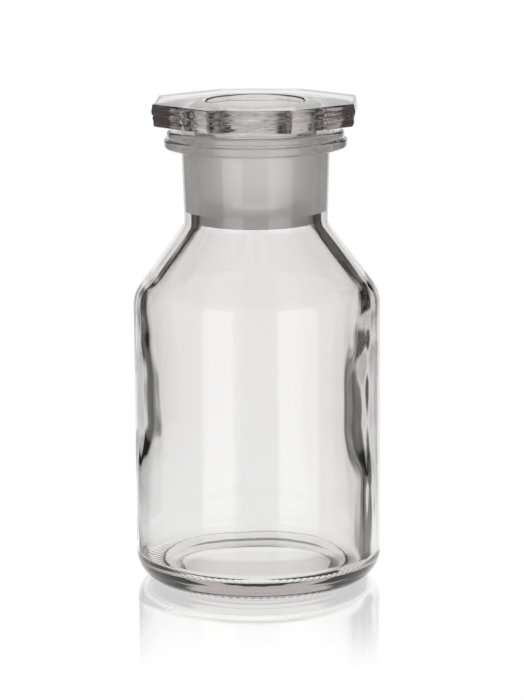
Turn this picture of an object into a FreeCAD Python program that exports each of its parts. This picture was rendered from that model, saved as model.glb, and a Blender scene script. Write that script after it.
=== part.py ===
import FreeCAD, Part
import math
import os
import Sketcher

# Wide-mouth reagent bottle of about 250 ml with a ground-glass stopper.
# Two glass pieces: the blown bottle and the pressed, hollow, flat-headed stopper.
# Frame: millimetres, +Z up along the axis of symmetry, origin on the floor under the axis.

# ---- driving dimensions -------------------------------------------------------------------
# The ground joint is a standard 34.5 mm, 24 mm long, 1:10 taper; its sizes are held here
# once, and both the socket in the neck and the plug of the stopper are worked out from them.
DIMENSIONS = {
    # ground joint
    "joint_diameter": 34.5,     # widest diameter of the ground socket, at the mouth
    "joint_taper": 0.1,         # change in diameter per unit of length
    "ground_length": 24.0,      # length of the ground band, from the mouth down
    "joint_gap": 0.05,          # radial play between the two ground faces

    # body of the bottle
    "body_diameter": 70.0,
    "body_height": 82.0,        # floor to the corner between wall and shoulder
    "body_wall": 3.4,
    "shoulder_height": 20.0,    # height of the conical shoulder
    "shoulder_wall": 3.0,       # measured square to the cone
    "shoulder_rounding": 9.0,
    "shoulder_inner_rounding": 7.0,

    # base
    "foot_inset": 5.0,          # body wall to the outer edge of the bearing ring
    "foot_width": 4.5,          # flat bearing ring
    "heel_height": 7.5,
    "push_up": 4.2,             # rise of the hollow under the base
    "base_thickness": 4.2,      # glass over the middle of the push-up
    "floor_dish": 1.6,          # fall of the inner floor from its middle to its edge
    "floor_rounding": 3.5,

    # neck and flange
    "throat_length": 2.5,       # ground band to the foot of the neck
    "throat_wall": 4.3,         # glass at the foot of the neck
    "neck_wall": 3.95,          # glass just under the flange
    "neck_rounding": 4.0,
    "throat_rounding": 1.5,
    "flange_height": 5.0,
    "flange_width": 8.55,       # joint bore to the rim of the flange
    "flange_rounding": 0.6,
    "flange_root": 1.2,
    "bead_height": 2.2,         # raised bead on the flange
    "bead_step": 0.8,           # how far the bead stands back from the rim
    "bead_rounding": 1.2,
    "mouth_rounding": 0.5,

    # stopper
    "plug_overreach": 2.3,      # plug below the ground band
    "plug_wall": 3.2,
    "plug_floor": 3.4,
    "plug_rounding": 1.0,
    "stand_off": 1.9,           # mouth to the underside of the head
    "head_width": 57.3,         # across the flats of the octagon
    "head_thickness": 6.4,
    "head_rounding": 1.0,
    "well_rounding": 5.0,
    "rim_rounding": 1.3,
}

HEAD_SIDES = 8
OVERSHOOT = 2.0                 # how far a cutting outline stands past the face it opens

os.makedirs("parts", exist_ok=True)
doc = FreeCAD.newDocument("ReagentBottle")
sheet = doc.addObject("Spreadsheet::Sheet", "Sizes")


def fill_sheet():
    """One row per driving dimension: its name, then its value under that alias."""
    for row, (alias, value) in enumerate(DIMENSIONS.items(), start=1):
        sheet.set(f"A{row}", alias)
        sheet.set(f"B{row}", str(value))
        sheet.setAlias(f"B{row}", alias)
    doc.recompute()


def cell(alias):
    return f"Sizes.{alias}"


def value_of(expression):
    """Present value of an expression in the sheet's names."""
    result = sheet.evalExpression(expression)
    return float(getattr(result, "Value", result))


# ---- heights and radii worked out from the sheet --------------------------------------------
BODY_RADIUS = f"{cell('body_diameter')} / 2"
FOOT_OUTER = f"({BODY_RADIUS} - {cell('foot_inset')})"
FOOT_INNER = f"({FOOT_OUTER} - {cell('foot_width')})"
NECK_FOOT_Z = f"({cell('body_height')} + {cell('shoulder_height')})"
MOUTH_Z = f"({NECK_FOOT_Z} + {cell('throat_length')} + {cell('ground_length')})"
FLANGE_Z = f"({MOUTH_Z} - {cell('flange_height')})"
BEAD_Z = f"({MOUTH_Z} - {cell('bead_height')})"
FLANGE_RADIUS = f"({cell('joint_diameter')} / 2 + {cell('flange_width')})"
BEAD_RADIUS = f"({FLANGE_RADIUS} - {cell('bead_step')})"
HEAD_Z = f"({MOUTH_Z} + {cell('stand_off')})"
HEAD_TOP_Z = f"({HEAD_Z} + {cell('head_thickness')})"
PLUG_Z = f"({MOUTH_Z} - {cell('ground_length')} - {cell('plug_overreach')})"


def socket_radius(height):
    """Radius of the tapered ground socket at a height."""
    return f"({cell('joint_diameter')} / 2 - {cell('joint_taper')} / 2 * ({MOUTH_Z} - {height}))"


def plug_radius(height):
    """Radius of the ground plug at the same height, one joint gap smaller."""
    return f"({socket_radius(height)} - {cell('joint_gap')})"


def well_radius(height):
    """The stopper's well keeps the plug's wall."""
    return f"({plug_radius(height)} - {cell('plug_wall')})"


NECK_FOOT_RADIUS = f"({socket_radius(NECK_FOOT_Z)} + {cell('throat_wall')})"
NECK_TOP_RADIUS = f"({socket_radius(FLANGE_Z)} + {cell('neck_wall')})"

# The inner cone runs parallel to the outer one. CONE is the fall in radius per unit of
# height, CONE_INSET the wall of the shoulder measured level.
CONE = f"(({BODY_RADIUS} - {NECK_FOOT_RADIUS}) / {cell('shoulder_height')})"
CONE_INSET = f"({cell('shoulder_wall')} * sqrt(1 + {CONE} ^ 2))"
CAVITY_RADIUS = f"({BODY_RADIUS} - {cell('body_wall')})"
CAVITY_SHOULDER_Z = (
    f"({cell('body_height')} + ({cell('body_wall')} - {CONE_INSET}) / {CONE})"
)
THROAT_Z = (
    f"(({BODY_RADIUS} - {CONE_INSET} + {CONE} * {cell('body_height')}"
    f" - {cell('joint_diameter')} / 2 + {cell('joint_taper')} / 2 * {MOUTH_Z})"
    f" / ({CONE} + {cell('joint_taper')} / 2))"
)
FLOOR_Z = f"({cell('push_up')} + {cell('base_thickness')})"
FLOOR_EDGE_Z = f"({FLOOR_Z} - {cell('floor_dish')})"
WELL_FLOOR_Z = f"({PLUG_Z} + {cell('plug_floor')})"


# ---- sketching and feature helpers ----------------------------------------------------------
def origin_plane(body, role):
    for feature in body.Origin.OriginFeatures:
        if feature.Role == role:
            return feature
    raise RuntimeError(f"{body.Name} has no {role}")


def pin(sketch, line, end, radius, height):
    """Hold one end of a line at a radius and a height, each bound to its expression.

    A radius or height of None puts the point on that axis of the sketch.
    """
    for kind, expression, axis in (("DistanceX", radius, -2), ("DistanceY", height, -1)):
        if expression is None:
            sketch.addConstraint(Sketcher.Constraint("PointOnObject", line, end, axis))
        else:
            amount = value_of(expression)
            index = sketch.addConstraint(Sketcher.Constraint(kind, -1, 1, line, end, amount))
            sketch.setExpression(f"Constraints[{index}]", expression)


def arc_between(start, stop, rule):
    """Minor arc from start to stop whose centre lies on the axis or level with stop."""
    if rule == "axis":
        squares = start.x**2 + start.y**2 - stop.x**2 - stop.y**2
        centre = FreeCAD.Vector(0, squares / (2 * (start.y - stop.y)), 0)
    else:
        squares = start.x**2 + (start.y - stop.y)**2 - stop.x**2
        centre = FreeCAD.Vector(squares / (2 * (start.x - stop.x)), stop.y, 0)
    circle = Part.Circle(centre, FreeCAD.Vector(0, 0, 1), centre.distanceToPoint(start))
    first = math.atan2(start.y - centre.y, start.x - centre.x)
    last = math.atan2(stop.y - centre.y, stop.x - centre.x)
    if (last - first) % (2 * math.pi) < math.pi:
        return Part.ArcOfCircle(circle, first, last), (1, 2)
    return Part.ArcOfCircle(circle, last, first), (2, 1)


def half_section(body, name, corners, arcs):
    """Closed outline right of the axis, in the body's XZ plane.

    corners lists (radius, height) expressions in order; None puts the corner on the axis
    or on the floor. arcs names the stretches, by the corner that they leave, that are arcs,
    and where each centre lies: on the "axis", or "level" with the arc's far end, which
    makes it run into an upright wall. The other stretches are straight.
    """
    sketch = body.newObject("Sketcher::SketchObject", name)
    sketch.AttachmentSupport = [(origin_plane(body, "XZ_Plane"), "")]
    sketch.MapMode = "FlatFace"
    points = [
        FreeCAD.Vector(*(0.0 if part is None else value_of(part) for part in corner), 0)
        for corner in corners
    ]
    count = len(points)
    ends = []
    for index, start in enumerate(points):
        stop = points[(index + 1) % count]
        curve, order = Part.LineSegment(start, stop), (1, 2)
        if index in arcs:
            curve, order = arc_between(start, stop, arcs[index])
        sketch.addGeometry(curve, False)
        ends.append(order)
    for index, corner in enumerate(corners):
        before = index - 1 if index else count - 1
        join = Sketcher.Constraint("Coincident", before, ends[before][1], index, ends[index][0])
        sketch.addConstraint(join)
        pin(sketch, index, ends[index][0], *corner)
    for index, rule in arcs.items():
        if rule == "axis":
            centre_rule = Sketcher.Constraint("PointOnObject", index, 3, -2)
        else:
            centre_rule = Sketcher.Constraint("Horizontal", index, 3, index, ends[index][1])
        sketch.addConstraint(centre_rule)
    return sketch


def turn(body, kind, name, sketch):
    """Full turn of a half section about the upright axis: Revolution adds, Groove cuts."""
    feature = body.newObject(f"PartDesign::{kind}", name)
    feature.Profile = sketch
    feature.ReferenceAxis = (sketch, ["V_Axis"])
    feature.Angle = 360.0
    doc.recompute()
    return feature


def cut_checked(body, name, sketch):
    """Groove that must take glass away."""
    before = body.Shape.Volume
    groove = turn(body, "Groove", name, sketch)
    if groove.Shape.Volume > before - 1.0:
        raise RuntimeError(f"{name} cuts nothing")
    return groove


def rings_at(shape, radius, height):
    """Names of the circular edges of a turned shape at one radius and height."""
    names = []
    for number, edge in enumerate(shape.Edges, start=1):
        if edge.Degenerated or not isinstance(edge.Curve, Part.Circle):
            continue
        near_radius = abs(edge.Curve.Radius - radius) < 1e-4
        if near_radius and abs(edge.Curve.Center.z - height) < 1e-4:
            names.append(f"Edge{number}")
    return names


def round_edges(body, name, edges, alias):
    """Fillet of the named edges of the body's present shape."""
    if not edges:
        raise RuntimeError(f"{name} found no edge")
    fillet = body.newObject("PartDesign::Fillet", name)
    fillet.Base = (fillet.BaseFeature, edges)
    fillet.setExpression("Radius", cell(alias))
    doc.recompute()
    if "Invalid" in fillet.State or fillet.Shape.isNull():
        raise RuntimeError(f"{name} failed")
    return fillet


def round_ring(body, name, radius, height, alias):
    rings = rings_at(body.Shape, value_of(radius), value_of(height))
    return round_edges(body, name, rings, alias)


# ---- bottle ---------------------------------------------------------------------------------
def make_bottle():
    """Blown glass: one turned outside, one turned cavity, then the roundings."""
    body = doc.addObject("PartDesign::Body", "Bottle")
    body.Label = "bottle"
    outside = half_section(
        body,
        "BottleOutside",
        [
            (None, cell("push_up")),
            (FOOT_INNER, None),
            (FOOT_OUTER, None),
            (BODY_RADIUS, cell("heel_height")),
            (BODY_RADIUS, cell("body_height")),
            (NECK_FOOT_RADIUS, NECK_FOOT_Z),
            (NECK_TOP_RADIUS, FLANGE_Z),
            (FLANGE_RADIUS, FLANGE_Z),
            (FLANGE_RADIUS, BEAD_Z),
            (BEAD_RADIUS, BEAD_Z),
            (BEAD_RADIUS, MOUTH_Z),
            (None, MOUTH_Z),
        ],
        {0: "axis", 2: "level"},
    )
    turn(body, "Revolution", "Glass", outside)
    above_mouth = f"({MOUTH_Z} + {OVERSHOOT})"
    cavity = half_section(
        body,
        "BottleCavity",
        [
            (None, FLOOR_Z),
            (CAVITY_RADIUS, FLOOR_EDGE_Z),
            (CAVITY_RADIUS, CAVITY_SHOULDER_Z),
            (socket_radius(THROAT_Z), THROAT_Z),
            (socket_radius(above_mouth), above_mouth),
            (None, above_mouth),
        ],
        {0: "axis"},
    )
    cut_checked(body, "Cavity", cavity)
    roundings = [
        ("ShoulderRounding", BODY_RADIUS, cell("body_height"), "shoulder_rounding"),
        ("NeckRounding", NECK_FOOT_RADIUS, NECK_FOOT_Z, "neck_rounding"),
        ("FlangeRoot", NECK_TOP_RADIUS, FLANGE_Z, "flange_root"),
        ("FlangeUnderside", FLANGE_RADIUS, FLANGE_Z, "flange_rounding"),
        ("FlangeTop", FLANGE_RADIUS, BEAD_Z, "flange_rounding"),
        ("BeadRounding", BEAD_RADIUS, MOUTH_Z, "bead_rounding"),
        ("MouthRounding", socket_radius(MOUTH_Z), MOUTH_Z, "mouth_rounding"),
        ("FloorRounding", CAVITY_RADIUS, FLOOR_EDGE_Z, "floor_rounding"),
        ("InnerShoulder", CAVITY_RADIUS, CAVITY_SHOULDER_Z, "shoulder_inner_rounding"),
        ("ThroatRounding", socket_radius(THROAT_Z), THROAT_Z, "throat_rounding"),
    ]
    for name, radius, height, alias in roundings:
        round_ring(body, name, radius, height, alias)
    return body


# ---- stopper --------------------------------------------------------------------------------
def outline_edges(shape, low, high, inside):
    """Edges outside a radius that lie wholly between two heights."""
    names = []
    for number, edge in enumerate(shape.Edges, start=1):
        if edge.Degenerated:
            continue
        box = edge.BoundBox
        middle = edge.valueAt((edge.FirstParameter + edge.LastParameter) / 2)
        level = low - 1e-4 < box.ZMin and box.ZMax < high + 1e-4
        if level and math.hypot(middle.x, middle.y) > inside:
            names.append(f"Edge{number}")
    return names


def make_stopper():
    """Pressed glass: tapered plug, octagonal head with its flats square to X and Y, one well."""
    body = doc.addObject("PartDesign::Body", "Stopper")
    body.Label = "stopper"
    inside_head = f"({HEAD_Z} + {cell('head_thickness')} / 2)"
    plug = half_section(
        body,
        "PlugOutline",
        [
            (None, PLUG_Z),
            (plug_radius(PLUG_Z), PLUG_Z),
            (plug_radius(MOUTH_Z), MOUTH_Z),
            (plug_radius(MOUTH_Z), inside_head),
            (None, inside_head),
        ],
        {},
    )
    turn(body, "Revolution", "Plug", plug)
    head = body.newObject("PartDesign::AdditivePrism", "Head")
    head.AttachmentSupport = [(origin_plane(body, "XY_Plane"), "")]
    head.MapMode = "FlatFace"
    head.Polygon = HEAD_SIDES
    half_side_angle = 180.0 / HEAD_SIDES
    head.AttachmentOffset = FreeCAD.Placement(
        FreeCAD.Vector(0, 0, 0), FreeCAD.Rotation(FreeCAD.Vector(0, 0, 1), half_side_angle)
    )
    head.setExpression("AttachmentOffset.Base.z", HEAD_Z)
    head.setExpression("Circumradius", f"{cell('head_width')} / 2 / cos({half_side_angle})")
    head.setExpression("Height", cell("head_thickness"))
    doc.recompute()
    above_head = f"({HEAD_TOP_Z} + {OVERSHOOT})"
    well = half_section(
        body,
        "WellOutline",
        [
            (None, WELL_FLOOR_Z),
            (well_radius(WELL_FLOOR_Z), WELL_FLOOR_Z),
            (well_radius(MOUTH_Z), MOUTH_Z),
            (well_radius(MOUTH_Z), above_head),
            (None, above_head),
        ],
        {},
    )
    cut_checked(body, "Well", well)
    head_edges = outline_edges(
        body.Shape, value_of(HEAD_Z), value_of(HEAD_TOP_Z), value_of(plug_radius(MOUTH_Z)) + 1.0
    )
    round_edges(body, "HeadRounding", head_edges, "head_rounding")
    roundings = [
        ("PlugRounding", plug_radius(PLUG_Z), PLUG_Z, "plug_rounding"),
        ("WellRounding", well_radius(WELL_FLOOR_Z), WELL_FLOOR_Z, "well_rounding"),
        ("RimRounding", well_radius(MOUTH_Z), HEAD_TOP_Z, "rim_rounding"),
    ]
    for name, radius, height, alias in roundings:
        round_ring(body, name, radius, height, alias)
    return body


def check_document():
    for item in doc.Objects:
        if "Invalid" in item.State or "Error" in item.State:
            raise RuntimeError(f"{item.Label} failed: {item.State}")


def write_part(body):
    shape = body.Shape
    if shape.isNull() or not shape.isValid() or len(shape.Solids) != 1:
        raise RuntimeError(f"{body.Label} is not one valid solid")
    shape.exportStep(f"parts/{body.Label}.step")
    box = shape.BoundBox
    size = f"{box.XLength:.2f} x {box.YLength:.2f} x {box.ZLength:.2f} mm"
    print(f"{body.Label}: {size}, {shape.Volume / 1000:.2f} ml of glass")


fill_sheet()
pieces = [make_bottle(), make_stopper()]
doc.recompute()
check_document()
for piece in pieces:
    write_part(piece)
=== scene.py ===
import bpy
import math
from mathutils import Matrix, Vector, noise


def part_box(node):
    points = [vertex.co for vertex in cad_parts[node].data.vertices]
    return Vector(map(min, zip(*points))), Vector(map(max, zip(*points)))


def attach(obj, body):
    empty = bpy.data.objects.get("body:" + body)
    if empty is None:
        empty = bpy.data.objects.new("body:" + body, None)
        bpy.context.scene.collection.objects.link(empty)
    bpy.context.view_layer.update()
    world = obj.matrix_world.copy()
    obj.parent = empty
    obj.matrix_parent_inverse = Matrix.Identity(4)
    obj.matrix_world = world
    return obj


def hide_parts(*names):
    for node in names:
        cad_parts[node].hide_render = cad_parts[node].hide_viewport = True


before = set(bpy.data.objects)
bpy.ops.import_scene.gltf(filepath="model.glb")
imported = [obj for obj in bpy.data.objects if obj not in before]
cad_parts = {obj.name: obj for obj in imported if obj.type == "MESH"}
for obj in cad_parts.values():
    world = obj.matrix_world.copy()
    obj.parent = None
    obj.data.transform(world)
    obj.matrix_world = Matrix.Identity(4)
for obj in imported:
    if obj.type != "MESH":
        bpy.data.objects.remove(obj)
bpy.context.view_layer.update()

# ---- fineness of the meshes ------------------------------------------------------------------
MM = 0.001
STEPS = 352                       # facets around a turned piece
ARC_STEP = math.radians(9)        # largest turn between two points of a rounded corner
BOTTLE_STEP = 3.0                 # longest step along the bottle's outline, in millimetres
STOPPER_STEP = 2.0
HEAD_SIDE_STEP = 0.16             # fine enough for the level streaks
DOME_RINGS = 16
WALL_RINGS = 76
INNER_HEEL_RINGS = 14

# ---- sizes, in millimetres -------------------------------------------------------------------
_, bottle_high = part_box("bottle")
stopper_low, stopper_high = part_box("stopper")

BODY_RADIUS = bottle_high.x / MM
MOUTH_Z = bottle_high.z / MM
HEAD_TOP_Z = stopper_high.z / MM
PLUG_Z = stopper_low.z / MM
HEAD_HALF_WIDTH = stopper_high.x / MM

# base
FOOT_OUTER = BODY_RADIUS - 5.0
FOOT_INNER = FOOT_OUTER - 5.0
FOOT_STEP = 1.0                   # height of the step from the hollow to the bearing ring
HOLLOW_RADIUS = FOOT_INNER - 0.4
HEEL_HEIGHT = 7.5
PUSH_UP = 4.2                     # rise of the hollow under the base
PUSH_UP_POWER = 2.2
FLOOR_Z = 8.4                     # middle of the inner floor
FLOOR_EDGE = 29.2                 # radius where the flat of the inner floor ends
FLOOR_EDGE_Z = 5.2
FLOOR_POWER = 4.0
WALL_FOOT_Z = 8.0                 # where the inner heel runs into the wall
KNURLS = 88                       # ridges around the bearing ring
KNURL_DEPTH = 0.35
KNURL_INSET = 0.6                 # from the ring's inner edge to the first ridges
KNURL_OVERREACH = 1.2             # how far the ridges run up the heel beyond the ring
KNURL_TOP_Z = 1.8

# shoulder, neck and flange
SHOULDER_Z = 82.0
SHOULDER_ROUNDING = 9.0
NECK_FOOT_Z = 102.0
NECK_FOOT_RADIUS = 20.23
NECK_TOP_RADIUS = 20.95
NECK_ROUNDING = 4.0
FLANGE_Z = MOUTH_Z - 5.0
FLANGE_RADIUS = 25.8
FLANGE_ROOT = 1.2                 # fillet between neck and flange
FLANGE_ROUNDING = 0.8
FLANGE_TOP_ROUNDING = 0.6
BEAD_Z = MOUTH_Z - 2.2
BEAD_RADIUS = 25.0
BEAD_ROUNDING = 1.1
BEAD_FOOT_Z = BEAD_Z + 0.5
BEAD_FOOT_ROUNDING = 0.2
FLANGE_TOP_Z = BEAD_Z - 0.3
GROOVE = 0.9                      # depth of the crease under the bead
GROOVE_HALF_HEIGHT = 0.2
GROOVE_ROUNDING = 0.1
SEAM = math.radians(-31)          # the other half of the mould's seam is opposite
SEAM_WIDTH = 0.012                # radians
SEAM_HEIGHT = 0.15
SEAM_INNER = FLANGE_RADIUS - 1.5  # the seam is on the flange outside this radius
SEAM_LOW_Z = FLANGE_Z - 0.1

# ground joint
JOINT_RADIUS = 17.25              # at the mouth
JOINT_SLOPE = 0.05                # fall in radius per unit of depth
JOINT_GAP = 0.05
GROUND_LENGTH = 23.2
MOUTH_ROUNDING = 0.5
MOUTH_FLAT = 1.0                  # flat of the mouth beside the joint
THROAT_Z = 103.3                  # foot of the ground bore
SOCKET_GROUND_Z = (MOUTH_Z - GROUND_LENGTH, MOUTH_Z - 0.6)
SOCKET_GROUND_RADII = (10.0, JOINT_RADIUS + 1.0)
PLUG_GROUND_Z = (PLUG_Z + 0.3, MOUTH_Z)
PLUG_GROUND_RADII = (JOINT_RADIUS - 2.3, 30.0)

# stopper
HEAD_THICKNESS = 6.4
HEAD_Z = HEAD_TOP_Z - HEAD_THICKNESS
HEAD_ROUNDING = 0.6
HEAD_CORNER = 1.0                 # rounding of the octagon's corners
HEAD_DRAFT = 0.35
PARTING_Z = HEAD_Z + 0.52 * HEAD_THICKNESS
PARTING_STEP = 0.25               # the upper half of the head stands out by this much
PARTING_ROUNDING = 0.12
STRIATION = 0.3                   # mean depth of the level streaks on the pressed edge
STRIATED_WIDTH = 1.2              # how far in from the edge the streaks reach
PLUG_WALL = 3.2
PLUG_FLOOR = 3.4
PLUG_ROUNDING = 1.0
WELL_ROUNDING = 5.0
RIM_ROUNDING = 1.3
RIM_FLAT = 3.0

# Glass thickness of the blown body, measured level, as (height, left, right, front and back).
# The glass settled thick in the upper body and thin below the middle.
WALL_PROFILE = [
    (8.0, 1.8, 4.2, 2.8),
    (18.0, 1.6, 4.2, 2.9),
    (28.0, 1.9, 4.3, 3.0),
    (46.0, 4.6, 6.0, 3.4),
    (58.0, 4.5, 6.0, 3.7),
    (70.0, 4.0, 5.2, 3.9),
    (81.0, 3.5, 4.5, 4.0),
    (88.0, 4.7, 4.8, 4.5),
    (98.0, 5.0, 5.0, 4.6),
    (103.2, 4.2, 4.2, 4.2),
]
FACING = 2.5                      # how narrowly the left and right thickness keep to their sides
RIPPLE = 0.10                     # broad waves in the wall
RIPPLE_SCALE = (3.0, 14.0)        # waves around, and millimetres up
STREAK = 0.05                     # long upright waves in the wall
STREAK_SCALE = (9.0, 60.0)
STRIATION_SCALE = (3.0, 1.1)
WAVES_FADE_TOP = 8.0              # height over which the waves die out at the throat
WAVES_FADE_FOOT = 14.0            # and at the foot of the wall
WAVES_FOOT_DROP = 2.0             # the fade starts this far below the foot

# ---- glass -----------------------------------------------------------------------------------
GLASS_IOR = 1.5
FROST = 0.45                      # roughness of a ground face
FROST_EDGE = 0.1                  # millimetres from clear to ground
GRINDING = 0.12                   # how much the frost varies from streak to streak
GRINDING_SCALE = (20.0, 20.0, 3500.0)         # waves per metre
GRINDING_RANGE = (0.3, 0.7)                   # part of the noise that is used
LINE_DEPTH = 0.5                  # millimetres
LINE_SCALE = (40.0, 40.0, 900.0)
LINE_START = 24.0                 # the pressed lines start outside this radius
BOUNCES = 24                      # light paths through the two thick pieces are long
REFLECTIONS = 12
ABSORB_COLOUR = (0.2, 0.1, 0.067, 1.0)
BOTTLE_DENSITY = 14.0
STOPPER_DENSITY = 22.0

# ---- stage -----------------------------------------------------------------------------------
# Light comes from a bright window behind the bottle and two tall soft boxes in front of it.
# Directions are azimuths in radians: 0 at the back, positive to the right, half a turn in front.
# Heights are elevations in radians.
WHITE = (1.0, 1.0, 1.0, 1.0)
BACKDROP = 1.02
WINDOW_MIDDLE = -0.06
WINDOW_HALF = 0.47
WINDOW_TOP = 0.45
WINDOW_BLUR = 0.12
WINDOW_LEVEL = 0.94
CARD_LEVEL = 0.02                 # dark cards on both sides of the window
CARD_EDGE = 1.05
CARD_BLUR = 0.2
SIDE_LEVEL = 0.45
SIDE_TOP = 0.5
SIDE_TOP_BLUR = 0.15
STRIPS = ((2.405, 0.35), (-2.538, 0.28))      # middle and half width of each soft box
STRIP_BLUR = 0.10
STRIP_LEVEL = 2.0                 # as mirrored in the glass
STRIP_THROUGH = 0.9               # as seen through the glass
LOW_EDGE = -0.30                  # light from below, between these two elevations
LOW_END = -0.7
LOW_BLUR = 0.05
LOW_LEVEL = 0.7
LOW_SIDES = (1.1, 1.3)            # azimuths over which the light from below falls off
LOW_SIDE_SHARE = 0.6
ROOF_EDGE = 1.2
ROOF_BLUR = 0.1
ROOF_LEVEL = 0.4

FLOOR_RADIUS = 0.2                # metres, as all the floor's sizes
FLOOR_DROP = 0.00002              # keeps the floor just clear of the bearing ring
FLOOR_GLOW = 1.04
FLOOR_FADE = (0.06, 0.16)
FLOOR_ROUGHNESS = 0.06
REFLECTION = 0.45
REFLECTION_FADE = (0.03, 0.125)

CAMERA_DISTANCE = 0.906
CAMERA_HEIGHT = 0.2398
CAMERA_PITCH = math.radians(10.91)
CAMERA_AZIMUTH = math.radians(3.2)
CAMERA_ROLL = math.radians(-0.45)
CAMERA_SENSOR = 36.0
CAMERA_LENS = 166.6286
CAMERA_SHIFT = 0.00686


# ---- outlines --------------------------------------------------------------------------------
def socket_radius(height):
    return JOINT_RADIUS - JOINT_SLOPE * (MOUTH_Z - height)


def plug_radius(height):
    return socket_radius(min(height, MOUTH_Z)) - JOINT_GAP


def well_radius(height):
    return plug_radius(height) - PLUG_WALL


def arc_points(centre, radius, first, last):
    """Points of an arc from one angle to the other, both ends included."""
    count = max(1, math.ceil(abs(last - first) / ARC_STEP))
    return [
        (centre[0] + radius * math.cos(first + (last - first) * i / count),
         centre[1] + radius * math.sin(first + (last - first) * i / count))
        for i in range(count + 1)
    ]


def rounded(corners):
    """Open path through (radius, height, rounding) corners, each corner turned by an arc."""
    path = []
    for index, (x, y, rounding) in enumerate(corners):
        if not rounding or index in (0, len(corners) - 1):
            path.append((x, y))
            continue
        corner = Vector((x, y))
        back = (Vector(corners[index - 1][:2]) - corner).normalized()
        ahead = (Vector(corners[index + 1][:2]) - corner).normalized()
        half = back.angle(ahead) / 2
        reach = rounding / math.tan(half)
        centre = corner + (back + ahead).normalized() * (rounding / math.sin(half))
        start = corner + back * reach
        stop = corner + ahead * reach
        first = math.atan2(start.y - centre.y, start.x - centre.x)
        sweep = math.atan2(stop.y - centre.y, stop.x - centre.x) - first
        sweep = (sweep + math.pi) % (2 * math.pi) - math.pi
        path += arc_points(centre, rounding, first, first + sweep)
    return path


def subdivided(path, longest):
    """The path with extra points so that no step is longer than longest."""
    result = [path[0]]
    for (x0, y0), (x1, y1) in zip(path, path[1:]):
        count = max(1, math.ceil(math.hypot(x1 - x0, y1 - y0) / longest))
        result += [
            (x0 + (x1 - x0) * i / count, y0 + (y1 - y0) * i / count)
            for i in range(1, count + 1)
        ]
    return result


def dome(edge_radius, edge_z, middle_z, power):
    """Shallow dome from the axis out to its edge, flatter in the middle for a higher power."""
    rise = middle_z - edge_z
    return [
        (edge_radius * i / DOME_RINGS, middle_z - rise * (i / DOME_RINGS) ** power)
        for i in range(DOME_RINGS + 1)
    ]


def bottle_foot():
    """The step down from the hollow, then the flat bearing ring out to its outer edge."""
    return [
        (FOOT_INNER - 0.2, FOOT_STEP - 0.05),
        (FOOT_INNER + 0.3, 0.05),
        (FOOT_INNER + 0.5, 0.0),
        (FOOT_INNER + 1.5, 0.0),
        (FOOT_OUTER - 1.5, 0.0),
        (FOOT_OUTER, 0.0),
    ]


def bottle_heel():
    """One arc from the bearing ring up to the body, tangent to the body."""
    inset = BODY_RADIUS - FOOT_OUTER
    radius = (inset ** 2 + HEEL_HEIGHT ** 2) / (2 * inset)
    centre = (BODY_RADIUS - radius, HEEL_HEIGHT)
    start = math.atan2(-HEEL_HEIGHT, FOOT_OUTER - centre[0])
    return arc_points(centre, radius, start, 0.0)


def bottle_outside():
    """From the middle of the hollow base up to the flat of the mouth."""
    hollow = dome(HOLLOW_RADIUS, FOOT_STEP, PUSH_UP, PUSH_UP_POWER)
    crease_radius = BEAD_RADIUS - GROOVE
    upper = rounded([
        (BODY_RADIUS, HEEL_HEIGHT, 0),
        (BODY_RADIUS, SHOULDER_Z, SHOULDER_ROUNDING),
        (NECK_FOOT_RADIUS, NECK_FOOT_Z, NECK_ROUNDING),
        (NECK_TOP_RADIUS, FLANGE_Z, FLANGE_ROOT),
        (FLANGE_RADIUS, FLANGE_Z, FLANGE_ROUNDING),
        (FLANGE_RADIUS, FLANGE_TOP_Z, FLANGE_TOP_ROUNDING),
        (crease_radius, BEAD_Z - GROOVE_HALF_HEIGHT, GROOVE_ROUNDING),
        (crease_radius, BEAD_Z + GROOVE_HALF_HEIGHT, GROOVE_ROUNDING),
        (BEAD_RADIUS, BEAD_FOOT_Z, BEAD_FOOT_ROUNDING),
        (BEAD_RADIUS, MOUTH_Z, BEAD_ROUNDING),
        (JOINT_RADIUS + MOUTH_FLAT, MOUTH_Z, 0),
    ])
    return hollow + bottle_foot() + bottle_heel()[1:] + upper[1:]


def bottle_inside():
    """From the mouth down to the middle of the floor, in four stretches.

    The radii of the wall are placeholders, and those of the inner heel are shares of its run
    from the wall to the floor: make_bottle turns both into true radii.
    """
    mouth = rounded([
        (JOINT_RADIUS + MOUTH_FLAT, MOUTH_Z, 0),
        (JOINT_RADIUS, MOUTH_Z, MOUTH_ROUNDING),
        (socket_radius(THROAT_Z), THROAT_Z, 0),
    ])
    drop = WALL_FOOT_Z - THROAT_Z
    wall = [(0.0, THROAT_Z + drop * i / WALL_RINGS) for i in range(1, WALL_RINGS + 1)]
    drop = FLOOR_EDGE_Z - WALL_FOOT_Z
    heel = []
    for i in range(1, INNER_HEEL_RINGS):
        share = i / INNER_HEEL_RINGS
        heel.append((share, WALL_FOOT_Z + drop * math.sin(math.pi / 2 * i / INNER_HEEL_RINGS)))
    floor = dome(FLOOR_EDGE, FLOOR_EDGE_Z, FLOOR_Z, FLOOR_POWER)
    return subdivided(mouth[1:], BOTTLE_STEP), wall, heel, floor[::-1]


def plug_outline():
    """From the middle of the plug's end up to the underside of the head."""
    return subdivided(rounded([
        (0.0, PLUG_Z, 0),
        (plug_radius(PLUG_Z), PLUG_Z, PLUG_ROUNDING),
        (plug_radius(MOUTH_Z), MOUTH_Z, 0),
        (plug_radius(MOUTH_Z), HEAD_Z, 0),
    ]), STOPPER_STEP)


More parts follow.
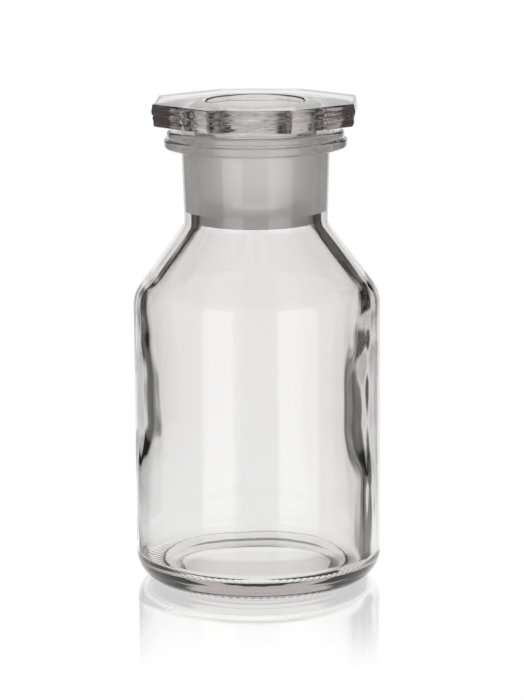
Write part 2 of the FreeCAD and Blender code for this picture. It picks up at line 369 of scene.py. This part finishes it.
def head_side():
    """The edge of the head from its underside to its top, as half widths of the octagon."""
    lower = HEAD_HALF_WIDTH - PARTING_STEP
    side = rounded([
        (JOINT_RADIUS, HEAD_Z, 0),
        (lower - HEAD_DRAFT, HEAD_Z, HEAD_ROUNDING),
        (lower, PARTING_Z, PARTING_ROUNDING),
        (HEAD_HALF_WIDTH, PARTING_Z, PARTING_ROUNDING),
        (HEAD_HALF_WIDTH - HEAD_DRAFT, HEAD_TOP_Z, HEAD_ROUNDING),
        (JOINT_RADIUS, HEAD_TOP_Z, 0),
    ])
    return subdivided(side[1:-1], HEAD_SIDE_STEP)


def well_outline():
    """From the flat around the rim down to the middle of the well's floor."""
    floor_z = PLUG_Z + PLUG_FLOOR
    well = rounded([
        (0.0, floor_z, 0),
        (well_radius(floor_z), floor_z, WELL_ROUNDING),
        (well_radius(MOUTH_Z), MOUTH_Z, 0),
        (well_radius(MOUTH_Z), HEAD_TOP_Z, RIM_ROUNDING),
        (well_radius(MOUTH_Z) + RIM_FLAT, HEAD_TOP_Z, 0),
    ])
    return subdivided(well[::-1], STOPPER_STEP)


# ---- shapes around the axis ------------------------------------------------------------------
def waves(angle, height, scale):
    """Smooth noise on a turned face. The scale is (waves around, millimetres up)."""
    around, up = scale
    return noise.noise(Vector((around * math.cos(angle), around * math.sin(angle), height / up)))


def wall_at(height, angle):
    """Thickness of the body's glass at a height, on the side that angle faces."""
    last = len(WALL_PROFILE) - 2
    row = max(i for i in range(last + 1) if i == 0 or WALL_PROFILE[i][0] <= height)
    low, high = WALL_PROFILE[row], WALL_PROFILE[row + 1]
    t = min(1.0, max(0.0, (height - low[0]) / (high[0] - low[0])))
    t = t * t * (3 - 2 * t)
    left, right, front = (a + (b - a) * t for a, b in zip(low[1:], high[1:]))
    facing = abs(math.cos(angle)) ** FACING
    edge = right if math.cos(angle) > 0 else left
    return front + (edge - front) * facing


def radius_on(path, height):
    """Radius of an outline at a height, on a stretch that only rises."""
    for (r0, z0), (r1, z1) in zip(path, path[1:]):
        if z0 <= height <= z1 and z1 > z0:
            return r0 + (r1 - r0) * (height - z0) / (z1 - z0)
    return path[-1][0]


def seam(angle, place):
    """Height of a fine mould seam, 1 on its line and falling off on both sides."""
    off = (angle - place + math.pi) % (2 * math.pi) - math.pi
    return math.exp(-((off / SEAM_WIDTH) ** 2))


def octagon_radius(angle, half_width):
    """Distance to a rounded octagon with flats square to X and Y."""
    turn = math.pi / 4
    local = (angle + turn / 2) % turn - turn / 2
    off = turn / 2 - abs(local)
    centre = (half_width - HEAD_CORNER) / math.cos(turn / 2)
    if centre * math.sin(off) < HEAD_CORNER * math.sin(turn / 2):
        return centre * math.cos(off) + math.sqrt(HEAD_CORNER ** 2 - (centre * math.sin(off)) ** 2)
    return half_width / math.cos(local)


# ---- meshes ----------------------------------------------------------------------------------
def turned_mesh(name, outline, shape, material):
    """Closed solid of revolution. The outline starts and ends on the axis.

    shape(radius, height, angle, index) gives the true radius and height of a point.
    """
    mesh = bpy.data.meshes.new(name)
    vertices = [(0.0, 0.0, outline[0][1] * MM)]
    rings = outline[1:-1]
    for index, (radius, height) in enumerate(rings, start=1):
        for step in range(STEPS):
            angle = 2 * math.pi * step / STEPS
            r, z = shape(radius, height, angle, index)
            vertices.append((r * math.cos(angle) * MM, r * math.sin(angle) * MM, z * MM))
    vertices.append((0.0, 0.0, outline[-1][1] * MM))
    faces = []
    last = len(vertices) - 1
    top = 1 + (len(rings) - 1) * STEPS
    for step in range(STEPS):
        after = (step + 1) % STEPS
        faces.append((0, 1 + after, 1 + step))
        for low in range(1, top, STEPS):
            high = low + STEPS
            faces.append((low + step, low + after, high + after, high + step))
        faces.append((top + step, top + after, last))
    mesh.from_pydata(vertices, [], faces)
    mesh.materials.append(material)
    mesh.shade_smooth()
    mesh.validate()
    piece = bpy.data.objects.new(name, mesh)
    bpy.context.scene.collection.objects.link(piece)
    return piece


class Nodes:
    """Short names for building a node tree."""

    def __init__(self, tree):
        self.tree = tree

    def add(self, kind, **settings):
        node = self.tree.nodes.new(kind)
        for key, value in settings.items():
            setattr(node, key, value)
        return node

    def feed(self, socket, value):
        if isinstance(value, (int, float, tuple)):
            socket.default_value = value
        else:
            self.tree.links.new(value, socket)

    def math(self, operation, *values):
        node = self.add("ShaderNodeMath", operation=operation)
        for socket, value in zip(node.inputs, values):
            self.feed(socket, value)
        return node.outputs[0]

    def length(self, x, y):
        squares = self.math("ADD", self.math("MULTIPLY", x, x), self.math("MULTIPLY", y, y))
        return self.math("SQRT", squares)

    def smooth(self, value, low, high, at_low=0.0, at_high=1.0):
        node = self.add("ShaderNodeMapRange", interpolation_type="SMOOTHSTEP", clamp=True)
        for socket, part in zip(node.inputs, (value, low, high, at_low, at_high)):
            self.feed(socket, part)
        return node.outputs["Result"]

    def between(self, value, low, high, edge):
        """1 between low and high, 0 outside, with soft edges inside the range."""
        return self.math(
            "MULTIPLY",
            self.smooth(value, low, low + edge),
            self.smooth(value, high - edge, high, 1.0, 0.0),
        )

    def noise(self, place, scale, detail):
        """Noise stretched by a scale for each axis."""
        stretched = self.add("ShaderNodeVectorMath", operation="MULTIPLY")
        self.feed(stretched.inputs[0], place)
        self.feed(stretched.inputs[1], scale)
        node = self.add("ShaderNodeTexNoise")
        self.feed(node.inputs["Vector"], stretched.outputs[0])
        self.feed(node.inputs["Scale"], 1.0)
        self.feed(node.inputs["Detail"], detail)
        return node.outputs["Fac"]


def glass(name, density, ground_z, ground_radii, line_start=None):
    """Clear glass, ground to a frost between two heights and two radii in millimetres.

    Outside the radius line_start, its face has the fine level lines of pressed glass.
    """
    material = bpy.data.materials.new(name)
    material.use_nodes = True
    nodes = Nodes(material.node_tree)
    shader = material.node_tree.nodes["Principled BSDF"]
    place = nodes.add("ShaderNodeTexCoord").outputs["Object"]
    split = nodes.add("ShaderNodeSeparateXYZ")
    nodes.feed(split.inputs[0], place)
    x, y, z = split.outputs
    radius = nodes.length(x, y)
    band = nodes.between(z, ground_z[0] * MM, ground_z[1] * MM, FROST_EDGE * MM)
    reach = nodes.between(radius, ground_radii[0] * MM, ground_radii[1] * MM, FROST_EDGE * MM)
    streaks = nodes.noise(place, GRINDING_SCALE, 2.0)
    level = nodes.smooth(streaks, *GRINDING_RANGE, 1.0 - GRINDING, 1.0 + GRINDING)
    frost = nodes.math("MULTIPLY", nodes.math("MULTIPLY", band, reach), level)
    nodes.feed(shader.inputs["Roughness"], nodes.math("MULTIPLY", frost, FROST))
    nodes.feed(shader.inputs["Base Color"], WHITE)
    nodes.feed(shader.inputs["IOR"], GLASS_IOR)
    nodes.feed(shader.inputs["Transmission Weight"], 1.0)
    absorption = nodes.add("ShaderNodeVolumeAbsorption")
    nodes.feed(absorption.inputs["Color"], ABSORB_COLOUR)
    nodes.feed(absorption.inputs["Density"], density)
    output = material.node_tree.nodes["Material Output"]
    nodes.feed(output.inputs["Volume"], absorption.outputs[0])
    if line_start is not None:
        bump = nodes.add("ShaderNodeBump")
        nodes.feed(bump.inputs["Distance"], LINE_DEPTH * MM)
        strength = nodes.smooth(radius, line_start * MM, (line_start + 1.0) * MM)
        nodes.feed(bump.inputs["Strength"], strength)
        nodes.feed(bump.inputs["Height"], nodes.noise(place, LINE_SCALE, 3.0))
        nodes.feed(shader.inputs["Normal"], bump.outputs[0])
    return material


def make_bottle():
    outside = subdivided(bottle_outside(), BOTTLE_STEP)
    mouth, wall, heel, floor = bottle_inside()
    outline = outside[:-1] + mouth + wall + heel + floor
    first_inner = len(outside) - 1
    first_wall = first_inner + len(mouth)
    first_heel = first_wall + len(wall)
    first_floor = first_heel + len(heel)
    raised = [point for point in outside if point[1] > 0.0]
    upright = raised[next(i for i, point in enumerate(raised) if point[0] > FOOT_OUTER):]

    def inner_radius(height, angle):
        fade = min(
            1.0,
            (THROAT_Z - height) / WAVES_FADE_TOP,
            (height - WALL_FOOT_Z + WAVES_FOOT_DROP) / WAVES_FADE_FOOT,
        )
        ripple = RIPPLE * waves(angle, height, RIPPLE_SCALE)
        streak = STREAK * waves(angle, height, STREAK_SCALE)
        return radius_on(upright, height) - wall_at(height, angle) - fade * (ripple + streak)

    def outer_shape(radius, height, angle):
        if height > SEAM_LOW_Z and radius > SEAM_INNER:
            both = seam(angle, SEAM) + seam(angle, SEAM + math.pi)
            return radius + SEAM_HEIGHT * both, height
        on_ring = FOOT_INNER + KNURL_INSET < radius < FOOT_OUTER + KNURL_OVERREACH
        if on_ring and height < KNURL_TOP_Z:
            ridge = 0.5 - 0.5 * math.cos(KNURLS * angle)
            return radius, height + KNURL_DEPTH * ridge
        return radius, height

    def shape(radius, height, angle, index):
        if index < first_inner:
            return outer_shape(radius, height, angle)
        if first_wall <= index < first_heel:
            return inner_radius(height, angle), height
        if first_heel <= index < first_floor:
            wide = inner_radius(WALL_FOOT_Z, angle)
            return FLOOR_EDGE + (wide - FLOOR_EDGE) * math.cos(math.pi / 2 * radius), height
        return radius, height

    material = glass(
        "bottle_glass",
        BOTTLE_DENSITY,
        ground_z=SOCKET_GROUND_Z,
        ground_radii=SOCKET_GROUND_RADII,
    )
    piece = turned_mesh("bottle_glass", outline, shape, material)
    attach(piece, "bottle")
    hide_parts("bottle")


def make_stopper():
    plug = plug_outline()
    side = head_side()
    first_head = len(plug)
    last_head = first_head + len(side)

    def shape(radius, height, angle, index):
        if not first_head <= index < last_head:
            return radius, height
        if radius > HEAD_HALF_WIDTH - STRIATED_WIDTH:
            radius -= STRIATION * (1 + waves(angle, height, STRIATION_SCALE))
        return octagon_radius(angle, radius), height

    material = glass(
        "stopper_glass",
        STOPPER_DENSITY,
        ground_z=PLUG_GROUND_Z,
        ground_radii=PLUG_GROUND_RADII,
        line_start=LINE_START,
    )
    piece = turned_mesh("stopper_glass", plug + side + well_outline(), shape, material)
    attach(piece, "stopper")
    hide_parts("stopper")


# ---- floor, light and camera -----------------------------------------------------------------
def make_floor():
    """White sheet that glows, mirrors the bottle faintly, and fades out around it."""
    bpy.ops.mesh.primitive_circle_add(
        vertices=96, radius=FLOOR_RADIUS, fill_type="NGON", location=(0, 0, -FLOOR_DROP))
    floor = bpy.context.object
    floor.name = "floor"
    material = bpy.data.materials.new("floor_white")
    material.use_nodes = True
    material.node_tree.nodes.clear()
    nodes = Nodes(material.node_tree)
    place = nodes.add("ShaderNodeTexCoord").outputs["Object"]
    away = nodes.add("ShaderNodeVectorMath", operation="LENGTH")
    nodes.feed(away.inputs[0], place)
    distance = away.outputs["Value"]
    glow = nodes.add("ShaderNodeEmission")
    nodes.feed(glow.inputs["Color"], WHITE)
    nodes.feed(glow.inputs["Strength"], FLOOR_GLOW)
    gloss = nodes.add("ShaderNodeBsdfGlossy")
    nodes.feed(gloss.inputs["Color"], WHITE)
    nodes.feed(gloss.inputs["Roughness"], FLOOR_ROUGHNESS)
    sheet = nodes.add("ShaderNodeMixShader")
    nodes.feed(sheet.inputs[0], nodes.smooth(distance, *REFLECTION_FADE, REFLECTION, 0.0))
    nodes.feed(sheet.inputs[1], glow.outputs[0])
    nodes.feed(sheet.inputs[2], gloss.outputs[0])
    clear = nodes.add("ShaderNodeBsdfTransparent")
    fade = nodes.add("ShaderNodeMixShader")
    nodes.feed(fade.inputs[0], nodes.smooth(distance, *FLOOR_FADE, 1.0, 0.0))
    nodes.feed(fade.inputs[1], clear.outputs[0])
    nodes.feed(fade.inputs[2], sheet.outputs[0])
    output = nodes.add("ShaderNodeOutputMaterial")
    nodes.feed(output.inputs["Surface"], fade.outputs[0])
    floor.data.materials.append(material)
    floor.visible_transmission = False


def window_light(nodes, azimuth, elevation):
    """Bright window with an oval top, and the dark cards around it."""
    across = nodes.math("DIVIDE", nodes.math("SUBTRACT", azimuth, WINDOW_MIDDLE), WINDOW_HALF)
    above = nodes.math("DIVIDE", nodes.math("MAXIMUM", elevation, 0.0), WINDOW_TOP)
    reach = nodes.length(across, above)
    return nodes.smooth(reach, 1.0 - WINDOW_BLUR, 1.0 + WINDOW_BLUR, WINDOW_LEVEL, CARD_LEVEL)


def side_light(nodes, azimuth, elevation, through_glass):
    """Even light beyond the cards, with the two soft boxes in it."""
    side = nodes.math("ABSOLUTE", azimuth)
    light = nodes.smooth(side, CARD_EDGE, CARD_EDGE + CARD_BLUR, 0.0, SIDE_LEVEL)
    level = nodes.smooth(through_glass, 0.0, 1.0, STRIP_LEVEL, STRIP_THROUGH)
    for middle, half in STRIPS:
        off = nodes.math("ABSOLUTE", nodes.math("SUBTRACT", azimuth, middle))
        strip = nodes.smooth(off, half - STRIP_BLUR / 2, half + STRIP_BLUR / 2, 1.0, 0.0)
        light = nodes.math("MAXIMUM", light, nodes.math("MULTIPLY", strip, level))
    below_top = nodes.smooth(elevation, SIDE_TOP, SIDE_TOP + SIDE_TOP_BLUR, 1.0, 0.0)
    return nodes.math("MULTIPLY", light, below_top)


def low_light(nodes, azimuth, elevation):
    """Light from below, at its full strength behind the bottle and weaker all around it."""
    light = nodes.math(
        "MULTIPLY",
        nodes.smooth(elevation, LOW_EDGE - LOW_BLUR, LOW_EDGE, LOW_LEVEL, 0.0),
        nodes.smooth(elevation, LOW_END - LOW_BLUR, LOW_END),
    )
    side = nodes.math("ABSOLUTE", azimuth)
    return nodes.math("MULTIPLY", light, nodes.smooth(side, *LOW_SIDES, 1.0, LOW_SIDE_SHARE))


def make_world():
    world = bpy.data.worlds.new("studio")
    bpy.context.scene.world = world
    world.use_nodes = True
    world.node_tree.nodes.clear()
    nodes = Nodes(world.node_tree)
    split = nodes.add("ShaderNodeSeparateXYZ")
    nodes.feed(split.inputs[0], nodes.add("ShaderNodeTexCoord").outputs["Generated"])
    x, y, z = split.outputs
    azimuth = nodes.math("ARCTAN2", x, y)
    elevation = nodes.math("ARCSINE", z)
    path = nodes.add("ShaderNodeLightPath").outputs
    light = side_light(nodes, azimuth, elevation, path["Is Transmission Ray"])
    light = nodes.math("MAXIMUM", light, window_light(nodes, azimuth, elevation))
    light = nodes.math("MAXIMUM", light, low_light(nodes, azimuth, elevation))
    roof = nodes.smooth(elevation, ROOF_EDGE, ROOF_EDGE + ROOF_BLUR, 0.0, ROOF_LEVEL)
    light = nodes.math("MAXIMUM", light, roof)
    # The camera and the floor's blurred mirror see plain white.
    blurred = nodes.math("SUBTRACT", path["Is Glossy Ray"], path["Is Singular Ray"])
    plain = nodes.math("MAXIMUM", path["Is Camera Ray"], blurred)
    seen = nodes.add("ShaderNodeMix", data_type="FLOAT")
    nodes.feed(seen.inputs[0], plain)
    nodes.feed(seen.inputs[2], light)
    nodes.feed(seen.inputs[3], BACKDROP)
    background = nodes.add("ShaderNodeBackground")
    nodes.feed(background.inputs["Color"], WHITE)
    nodes.feed(background.inputs["Strength"], seen.outputs[0])
    output = nodes.add("ShaderNodeOutputWorld")
    nodes.feed(output.inputs["Surface"], background.outputs[0])


def make_camera():
    camera_data = bpy.data.cameras.new("camera")
    camera = bpy.data.objects.new("camera", camera_data)
    bpy.context.scene.collection.objects.link(camera)
    camera.location = (
        CAMERA_DISTANCE * math.sin(CAMERA_AZIMUTH),
        -CAMERA_DISTANCE * math.cos(CAMERA_AZIMUTH),
        CAMERA_HEIGHT,
    )
    aim = Matrix.Rotation(CAMERA_AZIMUTH, 4, "Z")
    aim = aim @ Matrix.Rotation(math.pi / 2 - CAMERA_PITCH, 4, "X")
    camera.rotation_euler = (aim @ Matrix.Rotation(CAMERA_ROLL, 4, "Z")).to_euler()
    camera_data.sensor_width = CAMERA_SENSOR
    camera_data.lens = CAMERA_LENS
    camera_data.shift_x = CAMERA_SHIFT
    bpy.context.scene.camera = camera


make_bottle()
make_stopper()
make_floor()
make_world()
make_camera()

scene = bpy.context.scene
scene.view_settings.view_transform = "Standard"
scene.cycles.max_bounces = BOUNCES
scene.cycles.transmission_bounces = BOUNCES
scene.cycles.glossy_bounces = REFLECTIONS
